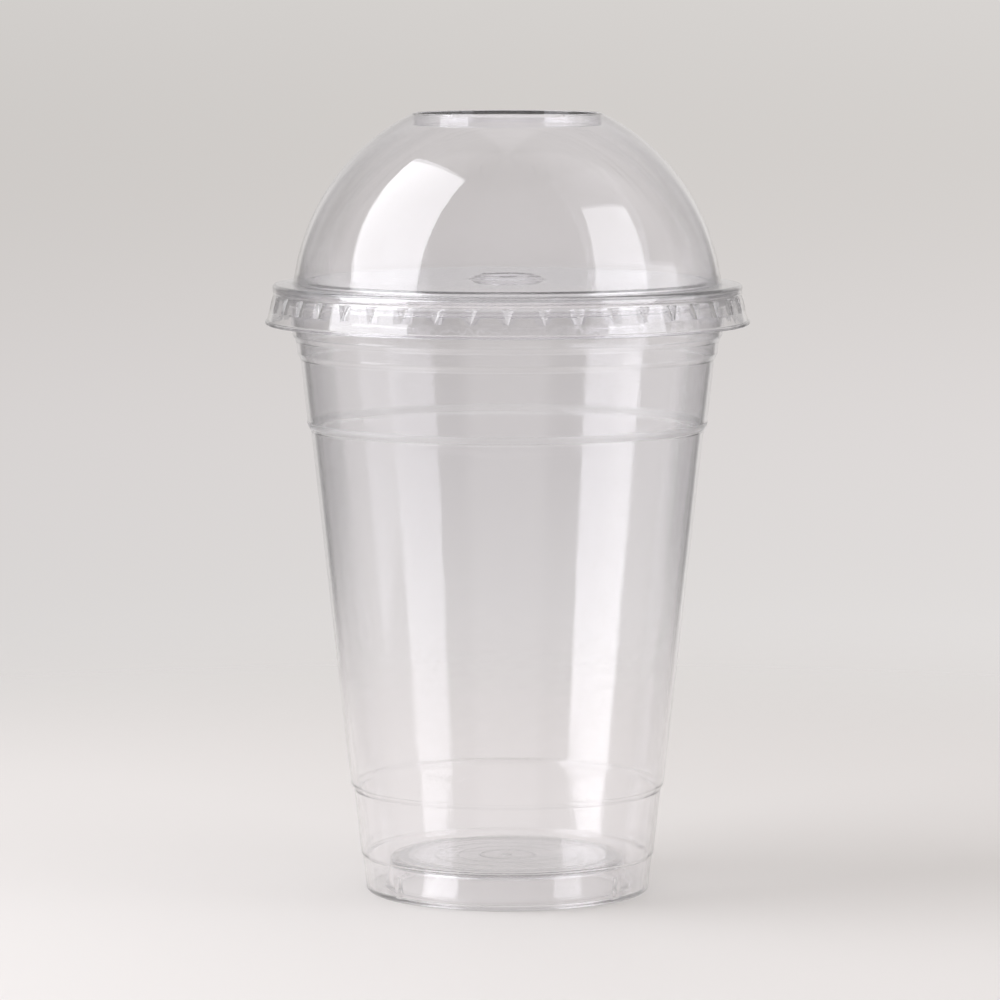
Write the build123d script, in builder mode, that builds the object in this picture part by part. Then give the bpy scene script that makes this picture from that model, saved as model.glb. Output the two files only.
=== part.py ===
from build123d import *
from math import cos, hypot, radians, sin, sqrt, tan
import os

# A clear drinking cup with a flat inner disc on its rim and a dome lid snapped over both.
# Millimetres, +Z up, origin at the centre of the foot, where the cup stands.

# Cup: driving dimensions
cup_height = 128.8  # table to the top of the rim
rim_radius = 48.4  # outside of the rolled rim
rim_roll = 2.9  # section diameter of the rolled rim
cup_wall = 1.2
wall_angle = 6.23  # half angle of the cone, degrees
band_drops = (9.8, 13.7, 29.0)  # middles of the upper shoulders, below the top of the rim
low_shoulder_height = 22.6  # middle of the lower shoulder, above the table
shoulder_depth = 0.55
shoulder_rise = 1.3
shoulder_round = 0.8
foot_height = 7.9
foot_step = 0.3
foot_round = 1.2
floor_height = 7.4  # top of the raised floor above the table
channel_width = 3.2  # flat bottom of the channel inside the foot
channel_draft = 0.9
channel_round = 0.8
gate_pip_radius = 1.1
gate_pip_height = 0.2
gate_ring_radius = 5.8
gate_ring_proud = 0.14
ripple_count = 3  # soft rings between the gate ring and the floor's edge
ripple_proud = 0.08
rib_angles = (48.5, 131.5, 228.5, 311.5)  # foot ribs, measured from the -Y side
rib_radius = 0.4
rib_proud = 0.25
rib_margin = 1.5  # from the table and from the shoulder to a rib's ends

# Inner disc: driving dimensions
disc_wall = 0.6
disc_inset = 0.2  # disc's edge inside the rim's outside
disc_panel_rise = 1.6  # centre panel above the seat
disc_panel_gap = 2.4  # centre panel's edge to the inside of the dome
disc_groove_gap = 0.35  # locating groove to the mouth's inside
disc_groove_width = 1.6
disc_groove_drop = 1.0
disc_groove_draft = 0.6
disc_round = 0.35
straw_hole_radius = 5.0
straw_ring_width = 3.4  # hole's edge to the foot of its ring
straw_ring_crest = 1.5  # hole's edge to the top of the ring
straw_ring_rise = 1.0
straw_ring_inner_drop = 0.7
straw_ring_round = 0.9

# Dome lid: driving dimensions
dome_wall = 1.2  # at the foot of the dome
crown_wall = 0.7  # at the opening
skirt_wall = 0.8
lid_gap = 0.85  # rim's outside to the inside of the lid's bead
seat_gap = 0.2  # disc's seat to the underside of the flange
dome_setback = 2.5  # dome's radius less than the rim's
dome_sink = 5.1  # sphere's centre below the top of the flange
opening_radius = 19.4
opening_lip = 3.0  # depth of the lip turned down into the opening
opening_flat = 0.5
lip_wall = 0.7
lip_round = 0.3
dome_foot_round = 1.3
bead_drop = 1.7  # height of the bead's side
bead_round = 0.8
neck_depth = 0.2
neck_drop = 0.4
skirt_flare = 1.45
skirt_drop = 8.6  # top of the flange to the bottom of the lid
edge_proud = 0.4  # the skirt's bottom edge beyond its cone
edge_height = 0.8
edge_round = 0.3
dent_count = 42
dent_drop = 2.6  # top of a dent below the top of the flange
dent_height = 3.2
dent_wall = 0.6
dent_half_angle = 60.0
snap_gap = 0.3  # dents' crests to the outside of the rim

# Places that follow from them
roll_height = cup_height - rim_roll / 2
mouth_radius = rim_radius - rim_roll
shoulders = [(cup_height - drop, shoulder_depth) for drop in band_drops]
shoulders += [(low_shoulder_height, shoulder_depth), (foot_height, foot_step)]
seat_height = cup_height + disc_wall
flange_height = seat_height + seat_gap + skirt_wall
dome_radius = rim_radius - dome_setback
dome_inner_radius = dome_radius - dome_wall
dome_centre = flange_height - dome_sink
opening_height = dome_centre + sqrt(dome_radius**2 - (opening_radius + opening_flat) ** 2)


def outer_radius(height):
    """Outside of the cup's wall at a height: the cone, less each shoulder above it."""
    taper = (roll_height - height) * tan(radians(wall_angle))
    steps = sum(depth for middle, depth in shoulders if middle > height)
    return mouth_radius + cup_wall - taper - steps


def sphere_radius(sphere, height):
    """Radius of a sphere about the dome's centre, cut at a height."""
    return sqrt(sphere**2 - (height - dome_centre) ** 2)


def sphere_height(sphere, radius):
    """Height at which that sphere has the given radius."""
    return dome_centre + sqrt(sphere**2 - radius**2)


def corners(section, *points):
    """The section's own corners at these places."""
    return [section.vertices().sort_by_distance((x, y, 0))[0] for x, y in points]


# ---------------------------------------------------------------- cup
def cup_side():
    """Corners of the outside of the wall, from the table up to the roll."""
    side = [(outer_radius(0), 0)]
    for middle, _ in sorted(shoulders):
        below = middle - shoulder_rise / 2
        above = middle + shoulder_rise / 2
        side += [(outer_radius(below), below), (outer_radius(above), above)]
    side.append((mouth_radius + cup_wall, roll_height))
    return side


outside = cup_side()
shoulder_corners = outside[1:-1]
inside_bottom = (outer_radius(cup_wall) - cup_wall, cup_wall)
inside = [inside_bottom] + [(r - cup_wall, z) for r, z in outside[1:]]
channel_inner = inside_bottom[0] - channel_width
floor_radius = channel_inner - channel_draft

floor_edge = (floor_radius, floor_height)
floor_under_edge = (floor_radius - cup_wall, floor_height - cup_wall)
channel_bottom = (channel_inner, cup_wall)
foot_inner_edge = (channel_inner - cup_wall, 0)
under = [(0, floor_height - cup_wall), floor_under_edge, foot_inner_edge]
above_floor = [channel_bottom, floor_edge, (0, floor_height)]

# round beads as wide as the floor is thick, of which only the tops stand out
ripple_pitch = (floor_radius - gate_ring_radius) / (ripple_count + 1)
floor_rings = [(gate_ring_radius, gate_ring_proud)]
floor_rings += [(gate_ring_radius + ripple_pitch * (i + 1), ripple_proud) for i in range(ripple_count)]

with BuildPart() as cup:
    with BuildSketch(Plane.XZ) as cup_section:
        with BuildLine():
            Polyline(*under, *outside, *reversed(inside), *above_floor, close=True)
        make_face()
        inner_shoulders = [(r - cup_wall, z) for r, z in shoulder_corners]
        fillet(corners(cup_section, *shoulder_corners, *inner_shoulders), radius=shoulder_round)
        fillet(corners(cup_section, outside[0], foot_inner_edge), radius=foot_round)
        soft_corners = (floor_edge, floor_under_edge, channel_bottom, inside_bottom)
        fillet(corners(cup_section, *soft_corners), radius=channel_round)
        with Locations((mouth_radius + rim_roll / 2, roll_height)):
            Circle(rim_roll / 2)
        with Locations([(r, floor_height + proud - cup_wall / 2) for r, proud in floor_rings]):
            Circle(cup_wall / 2)
        with Locations((0, floor_height - cup_wall / 2)):
            Rectangle(gate_pip_radius, cup_wall / 2 + gate_pip_height, align=Align.MIN)
    revolve(axis=Axis.Z)
    # ribs on the foot, leaning with its wall
    rib_top = foot_height - shoulder_rise / 2 - rib_margin
    for angle in rib_angles:
        out = Vector(sin(radians(angle)), -cos(radians(angle)), 0)
        low = out * (outer_radius(rib_margin) + rib_proud - rib_radius)
        low += Vector(0, 0, rib_margin)
        high = out * (outer_radius(rib_top) + rib_proud - rib_radius)
        high += Vector(0, 0, rib_top)
        with BuildSketch(Plane(origin=low, z_dir=high - low)):
            Circle(rib_radius)
        extrude(amount=(high - low).length)
cup.part.label = "cup"


# ---------------------------------------------------------------- inner disc
disc_radius = rim_radius - disc_inset
panel_height = seat_height + disc_panel_rise
panel_radius = dome_inner_radius - disc_panel_gap
groove_outer = mouth_radius - disc_groove_gap - disc_wall
groove_inner = groove_outer - disc_groove_width
groove_height = seat_height - disc_groove_drop
straw_ring_top = panel_height + straw_ring_rise
straw_ring = [
    (straw_hole_radius + straw_ring_crest, straw_ring_top),
    (straw_hole_radius + straw_ring_width, panel_height),
]
disc_top = [
    (straw_hole_radius, straw_ring_top - straw_ring_inner_drop),
    *straw_ring,
    (panel_radius, panel_height),
    (groove_inner, groove_height),
    (groove_outer, groove_height),
    (groove_outer + disc_groove_draft, seat_height),
    (disc_radius, seat_height),
]

with BuildPart() as inner_disc:
    with BuildSketch(Plane.XZ) as disc_section:
        disc_under = [(r, z - disc_wall) for r, z in disc_top]
        with BuildLine():
            Polyline(*disc_top, *reversed(disc_under), close=True)
        make_face()
        ring_under = [(r, z - disc_wall) for r, z in straw_ring]
        fillet(corners(disc_section, *straw_ring, *ring_under), radius=straw_ring_round)
        fillet(corners(disc_section, *disc_top[3:-1], *disc_under[3:-1]), radius=disc_round)
    revolve(axis=Axis.Z)
inner_disc.part.label = "inner_disc"


# ---------------------------------------------------------------- dome lid
bead_inner = rim_radius + lid_gap
bead_radius = bead_inner + skirt_wall
flange_under = flange_height - skirt_wall
neck_top = flange_height - bead_drop
neck_bottom = neck_top - neck_drop
neck_radius = bead_radius - neck_depth
lid_bottom = flange_height - skirt_drop
edge_top = lid_bottom + edge_height
skirt_slope = skirt_flare / (neck_bottom - edge_top)
edge_radius = neck_radius + skirt_flare + edge_proud
lip_bottom = opening_height - opening_lip
lip_radius = opening_radius + lip_wall
crown_inner_radius = dome_radius - crown_wall

dome_foot = (sphere_radius(dome_radius, flange_height), flange_height)
dome_inner_foot = (sphere_radius(dome_inner_radius, flange_under), flange_under)
crown_outer = (opening_radius + opening_flat, opening_height)
crown_inner = (opening_radius, opening_height)
lip_inner = (opening_radius, lip_bottom)
lip_outer = (lip_radius, lip_bottom)
lip_root = (lip_radius, sphere_height(crown_inner_radius, lip_radius))
skirt_outside = [
    (bead_radius, flange_height),
    (bead_radius, neck_top),
    (neck_radius, neck_bottom),
    (neck_radius + skirt_flare, edge_top),
    (edge_radius, edge_top),
    (edge_radius, lid_bottom),
]
skirt_inside = [
    (neck_radius + skirt_flare + skirt_slope * edge_height - skirt_wall, lid_bottom),
    (neck_radius - skirt_wall, neck_bottom),
    (bead_inner, neck_top),
    (bead_inner, flange_under),
]


def skirt_radius(height):
    """Outside of the skirt's cone at a height."""
    return neck_radius + skirt_slope * (neck_bottom - height)


def valley(top_radius, bottom_radius):
    """Sketch plane across a dent: its origin is the valley's top and its normal runs down it."""
    dent_top = flange_height - dent_drop
    run = Vector(bottom_radius - top_radius, 0, -dent_height)
    return Plane(origin=(top_radius, 0, dent_top), x_dir=(0, 1, 0), z_dir=run)


apex_radius = skirt_radius(flange_height - dent_drop - dent_height)
crest_radius = rim_radius + snap_gap
dent_reach = skirt_wall * 3  # the cutter's depth, well outside the skirt
bump_reach = skirt_wall * 0.85  # stays inside the wall

# the V cut into the outside of the skirt
with BuildPart() as dent_cut:
    with BuildSketch(valley(crest_radius + dent_wall, apex_radius)):
        half_width = dent_reach * tan(radians(dent_half_angle))
        Polygon((0, 0), (half_width, dent_reach), (-half_width, dent_reach), align=None)
    extrude(amount=dent_height * 1.5)

# the same V standing out on the inside
with BuildPart() as dent_bump:
    with BuildSketch(valley(crest_radius, apex_radius - skirt_wall)):
        half_width = bump_reach * tan(radians(dent_half_angle))
        Polygon((0, 0), (half_width, bump_reach), (-half_width, bump_reach), align=None)
    extrude(amount=hypot(dent_height, apex_radius - skirt_wall - crest_radius))

with BuildPart() as dome_lid:
    with BuildSketch(Plane.XZ) as lid_section:
        with BuildLine():
            Polyline(lip_root, lip_outer, lip_inner, crown_inner, crown_outer)
            RadiusArc(crown_outer, dome_foot, dome_radius)
            Polyline(dome_foot, *skirt_outside, *skirt_inside, dome_inner_foot)
            RadiusArc(dome_inner_foot, lip_root, -(dome_inner_radius + crown_inner_radius) / 2)
        make_face()
        fillet(corners(lid_section, crown_inner, lip_inner, lip_outer), radius=lip_round)
        fillet(corners(lid_section, dome_foot), radius=dome_foot_round)
        fillet(corners(lid_section, dome_inner_foot), radius=dome_foot_round + skirt_wall)
        fillet(corners(lid_section, skirt_outside[0]), radius=bead_round)
        fillet(corners(lid_section, skirt_inside[3]), radius=bead_round / 2)
        fillet(corners(lid_section, skirt_outside[4], skirt_outside[5]), radius=edge_round)
    revolve(axis=Axis.Z)
    with PolarLocations(0, dent_count, start_angle=-90):
        add(dent_bump.part)
    with PolarLocations(0, dent_count, start_angle=-90):
        add(dent_cut.part, mode=Mode.SUBTRACT)
dome_lid.part.label = "dome_lid"


# ---------------------------------------------------------------- files
os.makedirs("parts", exist_ok=True)
export_step(cup.part, "parts/cup.step")
export_step(inner_disc.part, "parts/inner_disc.step")
export_step(dome_lid.part, "parts/dome_lid.step")
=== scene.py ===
import math

import bmesh
import bpy
from mathutils import Matrix, Vector


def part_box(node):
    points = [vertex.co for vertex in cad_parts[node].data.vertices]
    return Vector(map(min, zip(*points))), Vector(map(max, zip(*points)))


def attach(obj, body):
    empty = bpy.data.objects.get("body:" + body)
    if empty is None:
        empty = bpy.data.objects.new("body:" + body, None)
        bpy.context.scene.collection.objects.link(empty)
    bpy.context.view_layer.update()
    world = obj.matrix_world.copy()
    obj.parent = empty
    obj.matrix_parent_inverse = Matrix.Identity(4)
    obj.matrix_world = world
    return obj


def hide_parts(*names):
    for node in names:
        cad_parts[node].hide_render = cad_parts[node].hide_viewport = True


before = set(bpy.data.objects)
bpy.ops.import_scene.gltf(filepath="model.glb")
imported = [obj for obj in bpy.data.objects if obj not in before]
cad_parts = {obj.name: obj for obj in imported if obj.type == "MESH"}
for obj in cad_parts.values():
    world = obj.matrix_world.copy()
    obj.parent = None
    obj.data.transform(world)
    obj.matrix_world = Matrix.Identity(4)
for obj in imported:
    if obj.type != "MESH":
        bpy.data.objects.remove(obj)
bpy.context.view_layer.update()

mm = 0.001
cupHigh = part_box("cup")[1]
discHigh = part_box("inner_disc")[1]
lidLow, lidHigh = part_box("dome_lid")
print("frame: cup", tuple(round(v / mm, 1) for v in cupHigh), "lid", tuple(round(v / mm, 1) for v in lidHigh))


# ---- shorthands for node trees: an input is either a number or a socket to link ----

def setInput(tree, socket, value):
    if isinstance(value, (int, float)):
        socket.default_value = value
    else:
        tree.links.new(value, socket)


def calculator(tree):
    def calc(operation, a, b=0.0):
        node = tree.nodes.new("ShaderNodeMath")
        node.operation = operation
        for socket, value in zip(node.inputs, (a, b)):
            setInput(tree, socket, value)
        return node.outputs[0]
    return calc


# carries a value from one range over to another, and eases in and out of it if smooth
def ranger(tree):
    def between(value, first, last, low=0.0, high=1.0, smooth=False):
        node = tree.nodes.new("ShaderNodeMapRange")
        node.interpolation_type = "SMOOTHSTEP" if smooth else "LINEAR"
        for key, given in (("Value", value), ("From Min", first), ("From Max", last),
                           ("To Min", low), ("To Max", high)):
            setInput(tree, node.inputs[key], given)
        return node.outputs[0]
    return between


def mixShaders(tree, factor, first, second):
    mix = tree.nodes.new("ShaderNodeMixShader")
    for socket, source in zip(mix.inputs, (factor, first, second)):
        tree.links.new(source, socket)
    return mix.outputs[0]


# ---- outlines ----

outlineStyle = {
    "arcStep": math.radians(9),   # between two points of a rounding
    "longestRun": 4 * mm,
    "guarded": 1.4 * mm,          # a longer run gets a row close to each end, so that it shades flat
    "guard": 0.12 * mm,           # how close
}


# a corner is (radius, height, rounding); in the outline each rounding is a short arc
def softOutline(corners, closed):
    count = len(corners)
    guard = outlineStyle["guard"]
    points = []
    for i, (r, z, rounding) in enumerate(corners):
        here = Vector((r, z))
        ends = not closed and i in (0, count - 1)
        if ends or rounding == 0:
            points.append(here)
            continue
        before = Vector(corners[i - 1][:2]) - here
        after = Vector(corners[(i + 1) % count][:2]) - here
        turn = math.pi - before.angle(after)
        if turn < math.radians(1):
            points.append(here)
            continue
        setback = min(rounding * math.tan(turn / 2), before.length * 0.49, after.length * 0.49)
        radius = setback / math.tan(turn / 2)
        middle = here + (before.normalized() + after.normalized()).normalized() * math.hypot(radius, setback)
        first = here + before.normalized() * setback - middle
        last = here + after.normalized() * setback - middle
        steps = max(2, math.ceil(turn / outlineStyle["arcStep"]))
        sweep = math.atan2(first.cross(last), first.dot(last))
        for k in range(steps + 1):
            a = sweep * k / steps
            points.append(middle + Vector((first.x * math.cos(a) - first.y * math.sin(a),
                                           first.x * math.sin(a) + first.y * math.cos(a))))
    if closed:
        points.append(points[0].copy())
    finished = [points[0]]
    for p in points[1:]:
        run = (p - finished[-1]).length
        if run < 1e-7:
            continue
        pieces = max(1, math.ceil(run / outlineStyle["longestRun"]))
        start = finished[-1].copy()
        steps = [k / pieces for k in range(1, pieces + 1)]
        if run > outlineStyle["guarded"]:
            steps = [guard / run] + steps[:-1] + [1 - guard / run, 1]
        finished += [start.lerp(p, step) for step in steps]
    return finished


# points on a dome's section about (0, centre), between two distances from the axis;
# the sphere may swell on the way
def sphereArc(firstSphere, lastSphere, centre, firstRadius, lastRadius, steps):
    a, b = math.asin(firstRadius / firstSphere), math.asin(lastRadius / lastSphere)
    arc = []
    for k in range(steps + 1):
        angle = a + (b - a) * k / steps
        sphere = firstSphere + (lastSphere - firstSphere) * k / steps
        arc.append((sphere * math.sin(angle), centre + sphere * math.cos(angle), 0))
    return arc


# ---- turning an outline into a shell, with V dents where the outline asks for them ----

shellColumns = {"sectors": 42, "perSector": 6}   # a sector holds one dent


def shellTree():
    tree = bpy.data.node_groups.new("turnedShell", "GeometryNodeTree")
    sockets = tree.interface
    sockets.new_socket("Outline", in_out="INPUT", socket_type="NodeSocketGeometry")
    for name, default in (("Sectors", shellColumns["sectors"]),
                          ("Columns per sector", shellColumns["perSector"])):
        sockets.new_socket(name, in_out="INPUT", socket_type="NodeSocketInt").default_value = default
    sockets.new_socket("Weld", in_out="INPUT", socket_type="NodeSocketFloat").default_value = 1e-6
    sockets.new_socket("Plastic", in_out="INPUT", socket_type="NodeSocketMaterial")
    sockets.new_socket("Shell", in_out="OUTPUT", socket_type="NodeSocketGeometry")
    nodes, links = tree.nodes, tree.links
    calc = calculator(tree)
    given, result = nodes.new("NodeGroupInput"), nodes.new("NodeGroupOutput")

    size = nodes.new("GeometryNodeAttributeDomainSize")
    links.new(given.outputs["Outline"], size.inputs[0])
    rows = size.outputs["Point Count"]
    columns = calc("MULTIPLY", given.outputs["Sectors"], given.outputs["Columns per sector"])
    grid = nodes.new("GeometryNodeMeshGrid")
    links.new(calc("ADD", columns, 1), grid.inputs["Vertices X"])
    links.new(rows, grid.inputs["Vertices Y"])
    index = nodes.new("GeometryNodeInputIndex").outputs[0]
    row = calc("MODULO", index, rows)
    column = calc("FLOOR", calc("DIVIDE", calc("ADD", index, 0.5), rows))

    def fromOutline(attribute):
        sample = nodes.new("GeometryNodeSampleIndex")
        links.new(given.outputs["Outline"], sample.inputs["Geometry"])
        links.new(row, sample.inputs["Index"])
        if attribute is None:
            sample.data_type = "FLOAT_VECTOR"
            links.new(nodes.new("GeometryNodeInputPosition").outputs[0], sample.inputs["Value"])
        else:
            sample.data_type = "FLOAT"
            named = nodes.new("GeometryNodeInputNamedAttribute")
            named.data_type = "FLOAT"
            named.inputs["Name"].default_value = attribute
            links.new(named.outputs["Attribute"], sample.inputs["Value"])
        return sample.outputs[0]

    place = nodes.new("ShaderNodeSeparateXYZ")
    links.new(fromOutline(None), place.inputs[0])
    perSector = given.outputs["Columns per sector"]
    sector = calc("FLOOR", calc("DIVIDE", calc("ADD", column, 0.5), perSector))
    local = calc("SUBTRACT", column, calc("MULTIPLY", sector, perSector))
    pitch = calc("DIVIDE", math.tau, given.outputs["Sectors"])
    step = calc("DIVIDE", pitch, perSector)
    # the first three columns of a sector are a dent's left edge, valley and right edge
    isDentEdge = calc("LESS_THAN", local, 2.5)
    squeeze = calc("ADD", calc("MULTIPLY", isDentEdge, calc("SUBTRACT", fromOutline("opening"), 1)), 1)
    offset = calc("MULTIPLY", calc("MULTIPLY", calc("SUBTRACT", local, 1), step), squeeze)
    angle = calc("ADD", calc("MULTIPLY", sector, pitch), calc("SUBTRACT", offset, math.pi / 2))
    isValley = calc("COMPARE", local, 1)
    isValley.node.inputs[2].default_value = 0.25
    radius = calc("SUBTRACT", place.outputs["X"], calc("MULTIPLY", isValley, fromOutline("dent")))
    spot = nodes.new("ShaderNodeCombineXYZ")
    links.new(calc("MULTIPLY", radius, calc("COSINE", angle)), spot.inputs["X"])
    links.new(calc("MULTIPLY", radius, calc("SINE", angle)), spot.inputs["Y"])
    links.new(place.outputs["Z"], spot.inputs["Z"])

    chain = grid.outputs["Mesh"]
    for kind, extra in (("GeometryNodeSetPosition", ("Position", spot.outputs[0])),
                        ("GeometryNodeMergeByDistance", ("Distance", given.outputs["Weld"])),
                        ("GeometryNodeSetShadeSmooth", None),
                        ("GeometryNodeRealizeInstances", None),
                        ("GeometryNodeSetMaterial", ("Material", given.outputs["Plastic"]))):
        node = nodes.new(kind)
        links.new(chain, node.inputs[0])
        if extra:
            links.new(extra[1], node.inputs[extra[0]])
        chain = node.outputs[0]
    links.new(chain, result.inputs["Shell"])
    return tree


turnedShell = shellTree()


# outline points are (radius, height), dents maps a point's index to (depth, opening)
def turn(name, outline, material, dents=None, sharpAngle=math.radians(24)):
    profile = bpy.data.meshes.new(name + "Outline")
    profile.from_pydata([(p.x, 0, p.y) for p in outline], [(i, i + 1) for i in range(len(outline) - 1)], [])
    undented = (0.0, 1.0)
    for slot, key in enumerate(("dent", "opening")):
        layer = profile.attributes.new(key, "FLOAT", "POINT")
        layer.data.foreach_set("value", [(dents or {}).get(i, undented)[slot] for i in range(len(outline))])
    maker = bpy.data.objects.new(name + "Maker", profile)
    bpy.context.scene.collection.objects.link(maker)
    modifier = maker.modifiers.new("turnedShell", "NODES")
    modifier.node_group = turnedShell
    inputs = {s.name: s.identifier for s in turnedShell.interface.items_tree if s.in_out == "INPUT"}
    modifier[inputs["Sectors"]] = shellColumns["sectors"]
    modifier[inputs["Columns per sector"]] = shellColumns["perSector"]
    modifier[inputs["Plastic"]] = material
    graph = bpy.context.evaluated_depsgraph_get()
    mesh = bpy.data.meshes.new_from_object(maker.evaluated_get(graph), depsgraph=graph)
    bpy.data.objects.remove(maker)
    mesh.name = name
    shape = bmesh.new()
    shape.from_mesh(mesh)
    bmesh.ops.dissolve_degenerate(shape, dist=1e-7, edges=shape.edges)
    bmesh.ops.recalc_face_normals(shape, faces=shape.faces)
    shape.to_mesh(mesh)
    openEdges = sum(not e.is_manifold for e in shape.edges)
    shape.free()
    mesh.set_sharp_from_angle(angle=sharpAngle)
    piece = bpy.data.objects.new(name, mesh)
    bpy.context.scene.collection.objects.link(piece)
    print("turned", name, len(mesh.polygons), "faces,", openEdges, "open edges")
    return piece


# ---- clear plastic ----

clear = {
    "tint": (0.967, 0.963, 0.975, 1),
    "ior": 1.54,
    "hazeNoise": ((1, 1, 0.4), 60, 3),       # stretch, scale and detail, as in the other noises
    "hazeEdges": (0.35, 0.75),
    "longestPath": 11,                       # bounces after which light counts as caught in a wall
    "caughtRoughness": 0.35,
    "flowNoise": ((1, 1, 0.05), 170, 2),     # long soft lines up a wall that was drawn out of a hot sheet
    "flowDepth": 0.6 * mm,
    "peelNoise": ((1, 1, 1), 420, 2),
    "peelDepth": 0.3 * mm,
    "peelStrength": 0.02,
    "passesFace": (1.0, 0.80),               # light let through face on, at the foot and further up
    "passesFaceRise": (9 * mm, 80 * mm),
    "passesEdge": 0.22,                      # and edge on
    "edgeFalloff": 4,
}
# roughness is for the smoothest and the haziest patches; the cup's two base colours are painted shade,
# lighter at the foot and darker up the wall
# satin rings: along Z or R, middle, half width, roughness
cupFinish = {
    "roughness": (0.03, 0.10),
    "flow": 0.05,
    "satin": (("Z", 100.4 * mm, 0.95 * mm, 0.35), ("Z", 119.0 * mm, 0.8 * mm, 0.12),
              ("Z", 115.1 * mm, 0.8 * mm, 0.12), ("R", 22.3 * mm, 1.3 * mm, 0.25)),
    # painted shade by height: the colour at the foot, then the darker colour up the wall
    "paintedShadeTints": ((0.99, 0.985, 0.993, 1), (0.932, 0.928, 0.940, 1)),
    "paintedShadeRise": (35 * mm, 90 * mm),
}
lidFinish = {
    "roughness": (0.012, 0.05),
    "flow": 0.0,
    "satin": (("Z", 131.0 * mm, 1.8 * mm, 0.12),),
}
discFinish = {
    "roughness": (0.012, 0.05),
    "flow": 0.0,
    "satin": (),
}


def clearPlastic(name, finish):
    material = bpy.data.materials.new(name)
    material.use_nodes = True
    tree = material.node_tree
    nodes, links = tree.nodes, tree.links
    calc, between = calculator(tree), ranger(tree)
    surface = nodes["Principled BSDF"]
    surface.inputs["Base Color"].default_value = clear["tint"]
    surface.inputs["Transmission Weight"].default_value = 1
    surface.inputs["IOR"].default_value = clear["ior"]
    where = nodes.new("ShaderNodeTexCoord").outputs["Object"]
    place = nodes.new("ShaderNodeSeparateXYZ")
    links.new(where, place.inputs[0])
    x, y, z = place.outputs

    def noise(stretch, scale, detail):
        mapping = nodes.new("ShaderNodeMapping")
        mapping.inputs["Scale"].default_value = stretch
        links.new(where, mapping.inputs["Vector"])
        node = nodes.new("ShaderNodeTexNoise")
        node.inputs["Scale"].default_value = scale
        node.inputs["Detail"].default_value = detail
        links.new(mapping.outputs[0], node.inputs["Vector"])
        return node.outputs[0]

    # painted shade: the cup's base colour goes from a light tint at the foot to a darker one up the wall
    if "paintedShadeTints" in finish:
        tint = nodes.new("ShaderNodeMix")
        tint.data_type = "RGBA"
        for socket, colour in zip((i for i in tint.inputs if i.type == "RGBA"), finish["paintedShadeTints"]):
            socket.default_value = colour
        links.new(between(z, *finish["paintedShadeRise"]), tint.inputs[0])
        links.new(next(o for o in tint.outputs if o.type == "RGBA"), surface.inputs["Base Color"])

    dullness = between(noise(*clear["hazeNoise"]), *clear["hazeEdges"], *finish["roughness"])
    radius = calc("SQRT", calc("ADD", calc("POWER", x, 2), calc("POWER", y, 2)))
    for axis, middle, half, dull in finish["satin"]:
        off = calc("ABSOLUTE", calc("SUBTRACT", z if axis == "Z" else radius, middle))
        dullness = calc("MAXIMUM", dullness, between(off, half * 0.6, half, dull, 0, smooth=True))
    # light that has bounced along inside a wall for long would never get out of a polished one
    path = nodes.new("ShaderNodeLightPath")
    caught = calc("GREATER_THAN", path.outputs["Ray Depth"], clear["longestPath"])
    dullness = calc("MAXIMUM", dullness, calc("MULTIPLY", caught, clear["caughtRoughness"]))
    links.new(dullness, surface.inputs["Roughness"])

    normal = None
    for kind, strength in (("flow", finish["flow"]), ("peel", clear["peelStrength"])):
        bump = nodes.new("ShaderNodeBump")
        bump.inputs["Strength"].default_value = strength
        bump.inputs["Distance"].default_value = clear[kind + "Depth"]
        links.new(noise(*clear[kind + "Noise"]), bump.inputs["Height"])
        if normal:
            links.new(normal, bump.inputs["Normal"])
        normal = bump.outputs[0]
    links.new(normal, surface.inputs["Normal"])

    # lamps and the light between papers go straight through, less at a grazing angle
    steep = calc("POWER", nodes.new("ShaderNodeLayerWeight").outputs["Facing"], clear["edgeFalloff"])
    face = between(z, *clear["passesFaceRise"], *clear["passesFace"])
    through = nodes.new("ShaderNodeBsdfTransparent")
    links.new(between(steep, 0, 1, face, clear["passesEdge"]), through.inputs["Color"])
    seen = surface.outputs[0]
    for ray in ("Is Diffuse Ray", "Is Shadow Ray"):
        seen = mixShaders(tree, path.outputs[ray], seen, through.outputs[0])
    links.new(seen, nodes["Material Output"].inputs["Surface"])
    return material


cupPlastic = clearPlastic("cupPlastic", cupFinish)
lidPlastic = clearPlastic("lidPlastic", lidFinish)
discPlastic = clearPlastic("discPlastic", discFinish)
print("materials made")


# ---- cup ----

cupShape = {
    "wall": 1.2 * mm,
    "roll": 2.9 * mm,                      # section of the rolled rim
    "rollSteps": 26,
    "angle": math.radians(6.23),           # of the wall, from upright
    "bandDrops": (9.8 * mm, 13.7 * mm, 29.0 * mm),
    "shoulderDepth": 0.55 * mm,
    "shoulderRise": 1.3 * mm,
    "shoulderRound": 0.8 * mm,
    "lowShoulder": 22.6 * mm,
    "footHeight": 7.9 * mm,
    "footStep": 0.3 * mm,
    "footRise": 0.6 * mm,
    "footCorner": 0.2 * mm,
    "footRound": 1.2 * mm,
    "floorHeight": 7.4 * mm,
    "channelWidth": 3.2 * mm,
    "channelDraft": 0.9 * mm,
    "channelRound": 0.8 * mm,
    "gateRing": (5.8 * mm, 0.08 * mm),     # radius and how far it stands out
    "ripples": (3, 0.035 * mm),            # how many, evenly between the gate ring and the floor's edge
    "rippleFoot": 0.3 * mm,                # roundings at a ripple's sides and crest
    "rippleCrest": 0.6 * mm,
    "pip": (1.1 * mm, 0.2 * mm),
    "pipTop": 0.9,                         # its radius at the top, as a share of that at its foot
    "pipRound": 0.1 * mm,
    "ribAngles": tuple(math.radians(a) for a in (48.5, 131.5, 228.5, 311.5)),   # from the -Y side
    "ribRadius": 0.4 * mm,
    "ribProud": 0.25 * mm,
    "ribMargin": 1.5 * mm,
}


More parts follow.
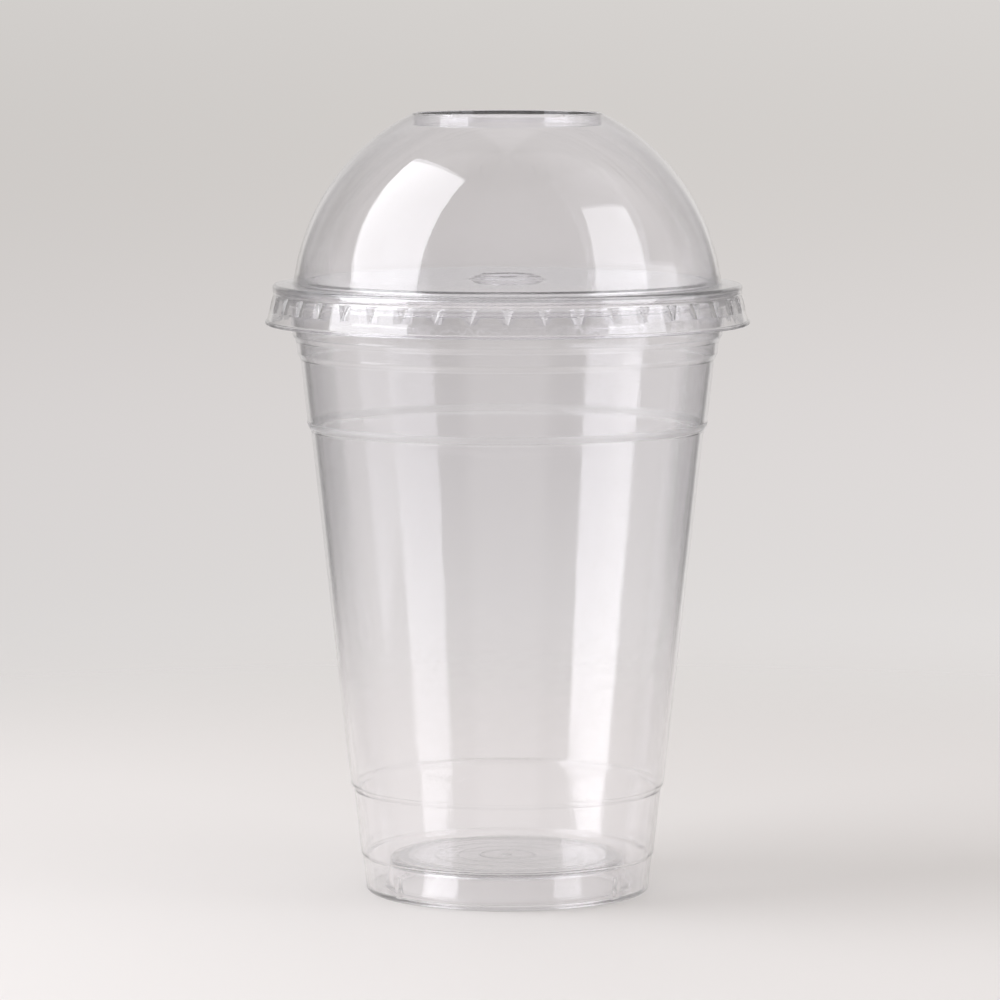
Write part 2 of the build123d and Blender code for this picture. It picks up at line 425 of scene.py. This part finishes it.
def makeCup():
    c = cupShape
    wall, roll = c["wall"], c["roll"]
    rollHeight = cupHigh.z - roll / 2
    mouth = cupHigh.x - roll
    shoulders = [(cupHigh.z - drop, c["shoulderDepth"]) for drop in c["bandDrops"]]
    shoulders += [(c["lowShoulder"], c["shoulderDepth"]), (c["footHeight"], c["footStep"])]
    rises = {c["footHeight"]: (c["footRise"], c["footCorner"])}

    def outside(z):
        return mouth + wall - (rollHeight - z) * math.tan(c["angle"]) - sum(d for m, d in shoulders if m > z)

    ribTop = c["footHeight"] - c["shoulderRise"] / 2 - c["ribMargin"]
    ribEnds = (c["ribMargin"], c["ribMargin"] + c["ribRadius"] / 2, ribTop - c["ribRadius"] / 2, ribTop)
    side = [(outside(0), 0, c["footRound"])] + [(outside(z), z, 0) for z in ribEnds]
    for middle, _ in sorted(shoulders):
        rise, corner = rises.get(middle, (c["shoulderRise"], c["shoulderRound"]))
        for z in (middle - rise / 2, middle + rise / 2):
            side.append((outside(z), z, corner))
    inner = [(r - wall, z, rounding) for r, z, rounding in side[1:]]
    innerBottom = outside(wall) - wall
    channel = innerBottom - c["channelWidth"]
    floorEdge = channel - c["channelDraft"]
    floor, soft = c["floorHeight"], c["channelRound"]
    under = [(0, floor - wall, 0), (floorEdge - wall, floor - wall, soft),
             (channel - wall, 0, c["footRound"])]
    # the roll is an arc from the wall's outside over the top to its inside
    rollRadius, rollMiddle = roll / 2, mouth + roll / 2
    leaves = math.acos((rollMiddle - mouth - wall) / rollRadius) - math.pi
    rolled = []
    for k in range(c["rollSteps"] + 1):
        a = leaves + (math.pi - leaves) * k / c["rollSteps"]
        rolled.append((rollMiddle + rollRadius * math.cos(a), rollHeight + rollRadius * math.sin(a), 0))
    top = [(channel, wall, soft), (floorEdge, floor, soft)]
    gateRadius, gateProud = c["gateRing"]
    count, proud = c["ripples"]
    pitch = (floorEdge - gateRadius) / (count + 1)
    rings = [(gateRadius + pitch * i, proud) for i in range(count, 0, -1)] + [(gateRadius, gateProud)]
    for radius, height in rings:
        # half the width of a bead as thick as the floor that stands out by the height
        half = math.sqrt(wall * height - height ** 2)
        top += [(radius + half, floor, c["rippleFoot"]), (radius, floor + height, c["rippleCrest"]),
                (radius - half, floor, c["rippleFoot"])]
    pipRadius, pipHeight = c["pip"]
    top += [(pipRadius, floor, c["pipRound"]), (pipRadius * c["pipTop"], floor + pipHeight, c["pipRound"]),
            (0, floor + pipHeight, 0)]
    corners = under + side + rolled + inner[::-1] + [(innerBottom, wall, soft)] + top
    cup = turn("cup_shell", softOutline(corners, closed=False), cupPlastic)
    # a rib is the nearest column of the foot's outside, pushed out between its ends
    halfColumn = math.pi / (shellColumns["sectors"] * shellColumns["perSector"])
    near = 0.01 * mm
    for v in cup.data.vertices:
        around = math.atan2(v.co.x, -v.co.y) % math.tau
        onOutside = math.hypot(v.co.x, v.co.y) > outside(v.co.z) - wall / 2
        if onOutside and ribEnds[1] - near < v.co.z < ribEnds[2] + near:
            if any(abs(around - a) < halfColumn for a in c["ribAngles"]):
                v.co += Vector((v.co.x, v.co.y, 0)).normalized() * c["ribProud"]
    return cup


cup = makeCup()


# ---- inner disc ----

discShape = {
    "wall": 0.6 * mm,
    "panelRise": 1.6 * mm,
    "panelRadius": 42.3 * mm,
    "groove": (43.0 * mm, 44.55 * mm, 45.15 * mm),   # inner and outer edge of its bottom, and its top
    "grooveDrop": 1.0 * mm,
    "round": 0.35 * mm,
    "edgeRound": 0.15 * mm,
    "hole": 5.0 * mm,
    "holeRound": 0.1 * mm,
    "ringWidth": 3.4 * mm,        # from the hole's edge, as is its crest
    "ringCrest": 1.5 * mm,
    "ringRise": 1.0 * mm,
    "ringInnerDrop": 0.7 * mm,
    "ringRound": 0.9 * mm,
}


def makeDisc():
    d = discShape
    seat = cupHigh.z + d["wall"]
    panel = seat + d["panelRise"]
    crest = panel + d["ringRise"]
    soft = d["round"]
    top = [(d["hole"], crest - d["ringInnerDrop"], d["holeRound"]),
           (d["hole"] + d["ringCrest"], crest, d["ringRound"]),
           (d["hole"] + d["ringWidth"], panel, d["ringRound"]), (d["panelRadius"], panel, soft),
           (d["groove"][0], seat - d["grooveDrop"], soft), (d["groove"][1], seat - d["grooveDrop"], soft),
           (d["groove"][2], seat, soft), (discHigh.x, seat, d["edgeRound"])]
    under = [(r, z - d["wall"], rounding) for r, z, rounding in top]
    return turn("disc_shell", softOutline(top + under[::-1], closed=True), discPlastic)


disc = makeDisc()


# ---- dome lid ----

lidShape = {
    "domeWall": 1.2 * mm,         # at its foot, and thinner at the crown
    "crownWall": 0.7 * mm,
    "skirtWall": 0.8 * mm,
    "height": 8.6 * mm,           # bottom edge to the top of the flange
    "domeRadius": 45.9 * mm,
    "domeSink": 5.1 * mm,         # the sphere's centre below the top of the flange
    "domeSteps": 64,
    "domeStops": (0.9975, 0.995), # share of its foot's radius where the arc ends, outside and inside
    "openingFlat": 0.5 * mm,
    "opening": 19.4 * mm,
    "openingLip": 3.0 * mm,
    "lipWall": 0.7 * mm,
    "lipRound": 0.3 * mm,
    "footRound": 1.3 * mm,
    "beadRadius": 50.05 * mm,
    "beadDrop": 1.7 * mm,
    "beadRound": 0.8 * mm,
    "beadInnerRound": 0.4 * mm,
    "neckDepth": 0.2 * mm,
    "neckDrop": 0.4 * mm,
    "neckRound": 0.2 * mm,
    "flare": 1.45 * mm,
    "edgeHeight": 0.8 * mm,
    "edgeRound": 0.3 * mm,
    "edgeInnerRound": 0.1 * mm,
    "dentDrop": 2.6 * mm,
    "dentHeight": 3.2 * mm,
    "dentFloor": 49.3 * mm,       # radius at the deepest point, outside and inside
    "dentCrest": 48.7 * mm,
    "dentLedge": 0.12 * mm,       # closes a dent's top
}


def makeLid():
    s = lidShape
    flange = lidLow.z + s["height"]
    centre = flange - s["domeSink"]
    sphere, innerSphere = s["domeRadius"], s["domeRadius"] - s["domeWall"]
    openingTop = lidHigh.z
    bead, skirtWall = s["beadRadius"], s["skirtWall"]
    beadInner = bead - skirtWall
    neckTop = flange - s["beadDrop"]
    neckBottom = neckTop - s["neckDrop"]
    neck = bead - s["neckDepth"]
    edgeTop = lidLow.z + s["edgeHeight"]
    slope = s["flare"] / (neckBottom - edgeTop)
    dentTop, dentBottom = flange - s["dentDrop"], flange - s["dentDrop"] - s["dentHeight"]

    def skirt(z):
        return neck + slope * (neckBottom - z)

    lip = s["opening"] + s["lipWall"]
    lipBottom = openingTop - s["openingLip"]
    crown = s["opening"] + s["openingFlat"]
    footRadius = math.sqrt(sphere ** 2 - s["domeSink"] ** 2)
    innerFoot = math.sqrt(innerSphere ** 2 - (s["domeSink"] - skirtWall) ** 2)
    outStop, inStop = s["domeStops"]
    domeOut = sphereArc(sphere, sphere, centre, crown, footRadius * outStop, s["domeSteps"])
    domeIn = sphereArc(innerSphere, sphere - s["crownWall"], centre, innerFoot * inStop, lip, s["domeSteps"])
    soft, neckRound, edgeRound = s["lipRound"], s["neckRound"], s["edgeRound"]
    dentRows = [(skirt(z), z, 0) for z in (dentTop + s["dentLedge"], dentTop, dentBottom)]
    corners = [(lip, lipBottom, soft), (s["opening"], lipBottom, soft), (s["opening"], openingTop, soft)]
    corners += domeOut + [(footRadius, flange, s["footRound"]), (bead, flange, s["beadRound"]),
                          (bead, neckTop, neckRound), (neck, neckBottom, neckRound)]
    corners += dentRows
    corners += [(skirt(edgeTop), edgeTop, neckRound), (lidHigh.x, edgeTop, edgeRound),
                (lidHigh.x, lidLow.z, edgeRound),
                (skirt(lidLow.z) - skirtWall, lidLow.z, s["edgeInnerRound"])]
    corners += [(r - skirtWall, z, rounding) for r, z, rounding in dentRows[::-1]]
    corners += [(neck - skirtWall, neckBottom, neckRound), (beadInner, neckTop, neckRound),
                (beadInner, flange - skirtWall, s["beadInnerRound"]),
                (innerFoot, flange - skirtWall, s["footRound"] + skirtWall)]
    corners += domeIn
    outline = softOutline(corners, closed=True)
    dents = {}
    near = 0.001 * mm
    for i, p in enumerate(outline):
        onSkirt = p.x > beadInner - 1 * mm
        if onSkirt and dentBottom - near <= p.y <= dentTop + near:
            t = (p.y - dentBottom) / s["dentHeight"]
            inside = p.x < skirt(p.y) - skirtWall / 2
            lowest = s["dentCrest"] + skirtWall if inside else s["dentFloor"]
            dents[i] = ((skirt(dentTop) - lowest) * t, max(t, 0.0))
    return turn("dome_shell", outline, lidPlastic, dents)


lid = makeLid()
print("pieces made")

for piece, body, node, slotName in ((cup, "cup", "cup", "cup_plastic"),
                                    (disc, "cup", "inner_disc", "disc_plastic"),
                                    (lid, "lid", "dome_lid", "lid_plastic")):
    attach(piece, body)
    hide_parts(node)


# ---- studio: floor, surroundings, softboxes, camera ----

studio = {
    "floorSize": 3.0,
    "floorFade": (0.15, 0.50),        # metres from the cup where the floor melts into the surroundings
    "floorColour": (0.75, 0.735, 0.73, 1),
    "floorRoughness": 0.6,
    "fill": (0.60, (1, 0.945, 0.89)),  # plain light from all round
    # brightness seen from straight down to straight up, by the sine of the elevation
    "sky": ((-0.20, (0.83, 0.81, 0.80)), (-0.125, (0.74, 0.717, 0.707)), (-0.08, (0.70, 0.671, 0.662)),
            (-0.03, (0.645, 0.62, 0.60)), (0.05, (0.74, 0.72, 0.71)), (0.16, (0.66, 0.64, 0.63)),
            (0.40, (0.50, 0.485, 0.48)), (0.80, (0.85, 0.83, 0.84))),
    # a, z, y and x below stand for the direction's azimuth and its three parts
    "sideShade": (0.28, 0.65),        # brightness between the four clear directions, low and high up
    "sideShadeRise": (-0.05, 0.25),   # by z
    "sideEdges": (0.62, 0.85),        # where that starts and is full, by |sin 2a|
    "frontShade": 0.75,               # how much darker it is on the -Y side above the horizon
    "frontEdges": (0.2, -0.2),        # by y
    "frontRise": (0.05, 0.15),        # by z
    "leftToRight": (0.955, 1.035),    # brightness a little to either side of straight back
    "leftToRightEdges": (-0.12, 0.12),   # by x
    # azimuth, distance and height of the foot and the head, width, radiance; azimuth is from the
    # camera's side, positive to the right
    "softboxes": {
        "softboxLeft": ((-66, 0.80, 0.02), (-93, 0.37, 0.88), 0.52, 3.7),
        "softboxRight": ((58.5, 0.80, 0.02), (75, 0.66, 0.80), 0.415, 2.25),
        "reflectorRight": ((88, 0.80, 0.10), (92, 0.80, 0.34), 0.36, 1.1),
    },
    "lampColour": (0.965, 0.965, 1),
    "lampAim": 0.08,                  # height on the axis that the lamps' backs are turned from
    "camera": {"lens": 195.8, "sensor": 36, "place": (-1.6 * mm, -1.158, 0.1998),
               "down": math.radians(5.714)},
    "bounces": 32,
    "glossyBounces": 12,
}


def makeFloor():
    bpy.ops.mesh.primitive_grid_add(x_subdivisions=4, y_subdivisions=4, size=studio["floorSize"])
    floor = bpy.context.object
    floor.name = "floor"
    material = bpy.data.materials.new("floorPaper")
    material.use_nodes = True
    tree = material.node_tree
    nodes, links = tree.nodes, tree.links
    surface = nodes["Principled BSDF"]
    surface.inputs["Base Color"].default_value = studio["floorColour"]
    surface.inputs["Roughness"].default_value = studio["floorRoughness"]
    distance = nodes.new("ShaderNodeVectorMath")
    distance.operation = "LENGTH"
    links.new(nodes.new("ShaderNodeTexCoord").outputs["Object"], distance.inputs[0])
    fade = ranger(tree)(distance.outputs["Value"], *studio["floorFade"], smooth=True)
    gone = nodes.new("ShaderNodeBsdfTransparent").outputs[0]
    links.new(mixShaders(tree, fade, surface.outputs[0], gone), nodes["Material Output"].inputs["Surface"])
    floor.data.materials.append(material)


def makeSurroundings():
    world = bpy.data.worlds.new("surroundings")
    bpy.context.scene.world = world
    world.use_nodes = True
    tree = world.node_tree
    nodes, links = tree.nodes, tree.links
    nodes.clear()
    calc, between = calculator(tree), ranger(tree)
    direction = nodes.new("ShaderNodeSeparateXYZ")
    links.new(nodes.new("ShaderNodeTexCoord").outputs["Generated"], direction.inputs[0])
    x, y, z = direction.outputs

    sky = studio["sky"]
    lowest, highest = sky[0][0], sky[-1][0]
    ramp = nodes.new("ShaderNodeValToRGB")
    stops = ramp.color_ramp.elements
    stops[0].color, stops[1].color = (*sky[0][1], 1), (*sky[-1][1], 1)
    ramp.color_ramp.interpolation = "CARDINAL"
    for height, colour in sky[1:-1]:
        stops.new((height - lowest) / (highest - lowest)).color = (*colour, 1)
    links.new(between(z, lowest, highest), ramp.inputs[0])

    # |sin 2a| is 0 along X and Y and 1 between them
    flat = calc("ADD", calc("MULTIPLY", x, x), calc("MULTIPLY", y, y))
    sideways = calc("DIVIDE", calc("MULTIPLY", calc("ABSOLUTE", calc("MULTIPLY", x, y)), 2), flat)
    shade = between(z, *studio["sideShadeRise"], *studio["sideShade"])
    strength = between(sideways, *studio["sideEdges"], 1, shade, smooth=True)
    frontness = calc("MULTIPLY", between(y, *studio["frontEdges"]),
                     between(z, *studio["frontRise"], 0, studio["frontShade"]))
    strength = calc("MULTIPLY", strength, calc("SUBTRACT", 1, frontness))
    strength = calc("MULTIPLY", strength, between(x, *studio["leftToRightEdges"], *studio["leftToRight"]))
    seen = nodes.new("ShaderNodeBackground")
    links.new(ramp.outputs[0], seen.inputs["Color"])
    links.new(strength, seen.inputs["Strength"])

    fill = nodes.new("ShaderNodeBackground")
    fill.inputs["Color"].default_value = (*studio["fill"][1], 1)
    fill.inputs["Strength"].default_value = studio["fill"][0]
    path = nodes.new("ShaderNodeLightPath").outputs
    direct = calc("MAXIMUM", path["Is Camera Ray"], path["Is Glossy Ray"])
    direct = calc("MAXIMUM", direct, path["Is Transmission Ray"])
    out = nodes.new("ShaderNodeOutputWorld")
    links.new(mixShaders(tree, direct, fill.outputs[0], seen.outputs[0]), out.inputs["Surface"])


def makeSoftbox(name, foot, head, width, radiance):
    foot, head = (Vector((d * math.sin(math.radians(a)), -d * math.cos(math.radians(a)), h))
                  for a, d, h in (foot, head))
    up = (head - foot).normalized()
    middle = (foot + head) / 2
    away = middle - Vector((0, 0, studio["lampAim"]))
    away = (away - up * away.dot(up)).normalized()
    data = bpy.data.lights.new(name, "AREA")
    data.shape = "RECTANGLE"
    data.size, data.size_y = width, (head - foot).length
    data.energy = radiance * math.pi * data.size * data.size_y
    data.color = studio["lampColour"]
    lamp = bpy.data.objects.new(name, data)
    lamp.matrix_world = Matrix((up.cross(away), up, away)).transposed().to_4x4()
    lamp.location = middle
    bpy.context.scene.collection.objects.link(lamp)


def makeCamera():
    wanted = studio["camera"]
    data = bpy.data.cameras.new("camera")
    data.sensor_width = wanted["sensor"]
    data.lens = wanted["lens"]
    camera = bpy.data.objects.new("camera", data)
    camera.location = wanted["place"]
    camera.rotation_euler = (math.pi / 2 - wanted["down"], 0, 0)
    bpy.context.scene.collection.objects.link(camera)
    bpy.context.scene.camera = camera


makeFloor()
makeSurroundings()
for lampName, lampShape in studio["softboxes"].items():
    makeSoftbox(lampName, *lampShape)
makeCamera()

scene = bpy.context.scene
scene.view_settings.view_transform = "Standard"
scene.cycles.max_bounces = studio["bounces"]
scene.cycles.transmission_bounces = studio["bounces"]
scene.cycles.transparent_max_bounces = studio["bounces"]
scene.cycles.glossy_bounces = studio["glossyBounces"]
print("studio made")
